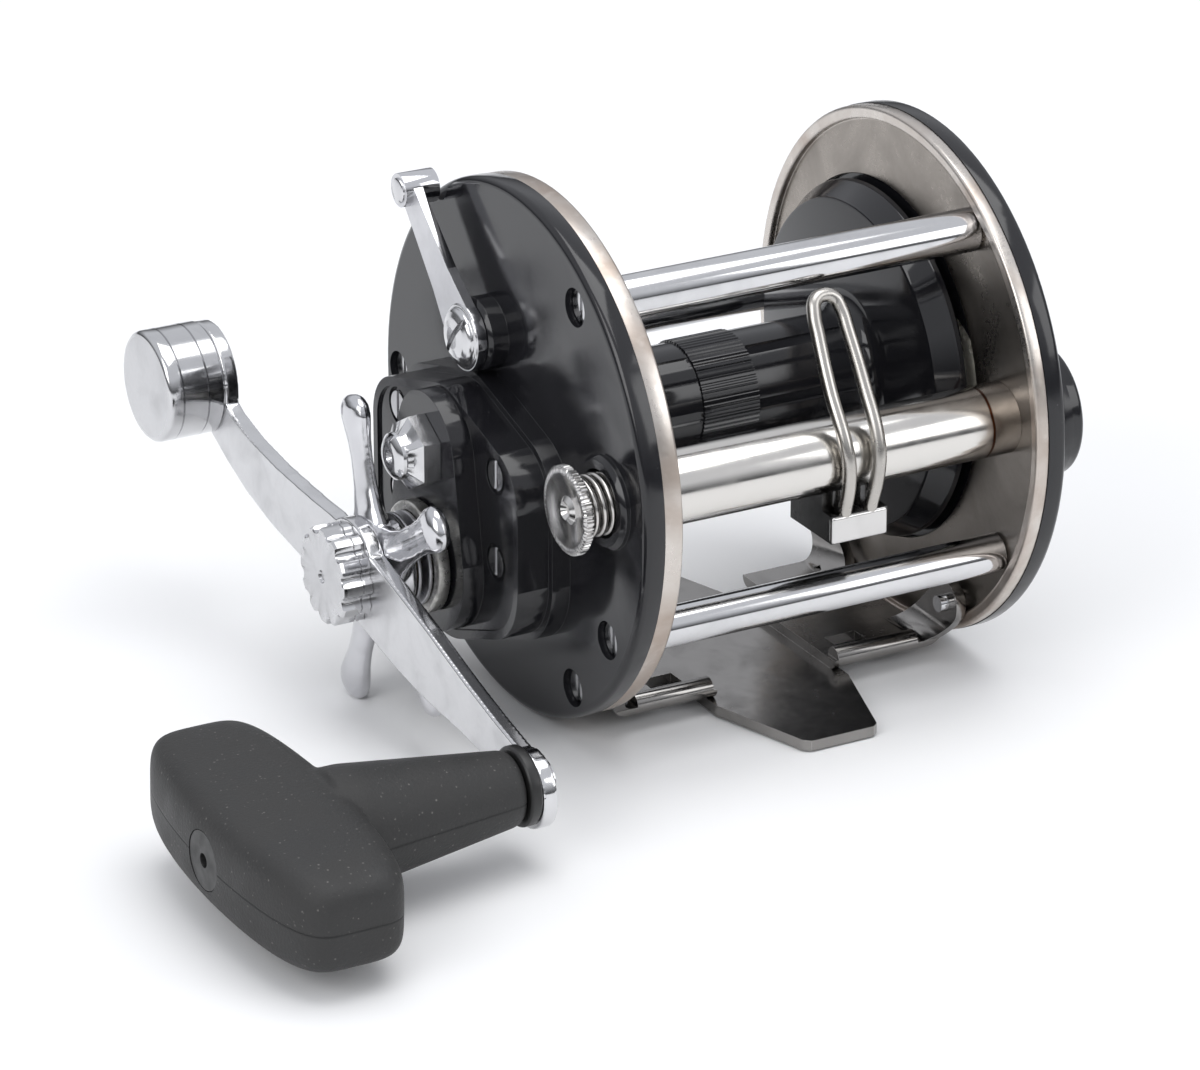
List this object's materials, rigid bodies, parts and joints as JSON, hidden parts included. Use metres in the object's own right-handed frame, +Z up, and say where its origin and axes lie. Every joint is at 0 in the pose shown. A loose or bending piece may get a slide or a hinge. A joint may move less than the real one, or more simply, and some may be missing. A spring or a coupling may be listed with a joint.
{
  "type": "trolling reel",
  "caption": "Level-wind trolling reel with a black side-plated spool, balanced crank and T-grip, star drag, free-spool lever, click and slide-in rod foot.",
  "frame": {"origin": "underside of the foot, below the middle of the side plates", "axes": "+X along the spool from the crank side to the tail side, -Y towards the front where the line leaves, +Z up from the rod"},
  "size_m": [0.1408, 0.1309, 0.0763],
  "materials": {
    "plates": "gloss black moulded plastic",
    "rings": "satin nickel plate, slightly tarnished",
    "posts": "bright chrome plate",
    "screws": "bright chrome plate",
    "stand": "dark polished chrome plate",
    "brass": "machined brass",
    "steel": "machined steel",
    "fibre": "pressed fibre",
    "collar": "plated",
    "star": "bright chrome plate",
    "crank": "bright chrome plate",
    "nut": "bright chrome plate",
    "counterweight": "turned and plated",
    "grip_rubber": "matt black rubber",
    "grip_fittings": "black moulded plastic",
    "springs": "plated spring wire",
    "lever": "bright chrome plate",
    "bearing_caps": "bright chrome plate",
    "spool": "gloss black moulded plastic",
    "gear_plastic": "natural moulded plastic",
    "tube": "polished plate, slightly tarnished",
    "carriage": "satin plate",
    "guide": "polished wire",
    "takedown": "knurled plate"
  },
  "bodies": {
    "frame": {"crank_side_plate": "plates", "crank_side_ring": "rings", "tail_side_ring": "rings", "tail_plate": "plates", "top_post": "posts", "front_post": "posts", "rear_post": "posts", "stand": "stand", "post_screws": "screws", "stand_screws": "screws", "bridge": "brass", "bridge_screws": "screws", "worm_tube": "tube", "takedown_spring": "springs", "yoke_springs": "springs"},
    "crank": {"gear_sleeve": "brass", "anti_reverse_ratchet": "steel", "main_gear": "brass", "drag_fibre_washers": "fibre", "drag_metal_washers": "steel", "drag_collar": "collar", "spring_washers": "steel", "crank_arm": "crank", "crank_nut": "nut", "counterweight": "counterweight", "grip_spindle": "crank"},
    "star": {"star_wheel": "star"},
    "grip": {"grip": "grip_rubber", "grip_plug": "grip_fittings", "grip_washer": "grip_fittings"},
    "spool": {"spool": "spool", "spool_shaft": "steel", "spool_gear": "brass", "click_ratchet": "brass"},
    "yoke": {"yoke": "steel"},
    "pinion": {"pinion": "steel"},
    "idler": {"idler_gear": "gear_plastic"},
    "worm": {"worm_gear": "gear_plastic", "worm_shaft": "steel"},
    "lever": {"lever": "lever", "lever_screw": "screws", "cam": "steel"},
    "dog": {"anti_reverse_dog": "steel"},
    "crank_cap": {"crank_bearing_cap": "bearing_caps"},
    "tail_cap": {"tail_bearing_cap": "bearing_caps"},
    "takedown": {"takedown_knob": "takedown"},
    "click": {"click_tongue": "steel", "click_button": "lever"},
    "carriage": {"carriage": "carriage", "pawl_cap": "carriage", "line_guide": "guide"},
    "pawl": {"pawl": "steel"}
  },
  "joints": [
    {"name": "crank_turn", "type": "hinge", "parent": "frame", "child": "crank", "pos_m": [0, 0.0055, 0.0224], "axis": [1, 0, 0], "continuous": true},
    {"name": "star_turn", "type": "hinge", "parent": "crank", "child": "star", "pos_m": [0, 0.0055, 0.0224], "axis": [1, 0, 0], "range_deg": [-180, 180]},
    {"name": "grip_spin", "type": "hinge", "parent": "crank", "child": "grip", "pos_m": [-0.075, -0.04527, 0.01115], "axis": [1, 0, 0], "continuous": true},
    {"name": "spool_spin", "type": "hinge", "parent": "frame", "child": "spool", "pos_m": [0, 0.0055, 0.038], "axis": [1, 0, 0], "continuous": true},
    {"name": "yoke_slide", "type": "slide", "parent": "frame", "child": "yoke", "axis": [-1, 0, 0], "range_m": [0, 0.0015], "deforming": ["yoke_springs"]},
    {"name": "pinion_spin", "type": "hinge", "parent": "yoke", "child": "pinion", "pos_m": [0, 0.0055, 0.038], "axis": [1, 0, 0], "continuous": true},
    {"name": "idler_spin", "type": "hinge", "parent": "frame", "child": "idler", "pos_m": [0, -0.00951, 0.03905], "axis": [1, 0, 0], "continuous": true},
    {"name": "worm_spin", "type": "hinge", "parent": "frame", "child": "worm", "pos_m": [0, -0.0273, 0.0403], "axis": [1, 0, 0], "continuous": true},
    {"name": "lever_throw", "type": "hinge", "parent": "frame", "child": "lever", "pos_m": [0, 0.0055, 0.0536], "axis": [1, 0, 0], "range_deg": [0, 50]},
    {"name": "dog_swing", "type": "hinge", "parent": "frame", "child": "dog", "pos_m": [0, 0.0177, 0.0295], "axis": [1, 0, 0], "range_deg": [0, 9]},
    {"name": "crank_cap_turn", "type": "hinge", "parent": "frame", "child": "crank_cap", "pos_m": [0, 0.0055, 0.038], "axis": [1, 0, 0], "range_deg": [-90, 90]},
    {"name": "tail_cap_turn", "type": "hinge", "parent": "frame", "child": "tail_cap", "pos_m": [0, 0.0055, 0.038], "axis": [1, 0, 0], "range_deg": [-90, 90]},
    {"name": "takedown_turn", "type": "hinge", "parent": "frame", "child": "takedown", "pos_m": [0, -0.0273, 0.0403], "axis": [1, 0, 0], "range_deg": [-180, 180]},
    {"name": "click_slide", "type": "slide", "parent": "frame", "child": "click", "axis": [0, -1, 0], "range_m": [0, 0.0015]},
    {"name": "carriage_slide", "type": "slide", "parent": "frame", "child": "carriage", "axis": [1, 0, 0], "range_m": [-0.025, 0.019]},
    {"name": "pawl_swivel", "type": "hinge", "parent": "carriage", "child": "pawl", "pos_m": [0.003, -0.0273, 0.03], "axis": [0, 0, 1], "range_deg": [-25, 25]}
  ],
  "couplings": [
    {"joint": "spool_spin", "follows": "crank_turn", "ratio": -3},
    {"joint": "pinion_spin", "follows": "crank_turn", "ratio": -3},
    {"joint": "idler_spin", "follows": "crank_turn", "ratio": 1.1613},
    {"joint": "worm_spin", "follows": "crank_turn", "ratio": -1.8},
    {"joint": "yoke_slide", "follows": "lever_throw", "m_per_rad": 0.0017189}
  ]
}
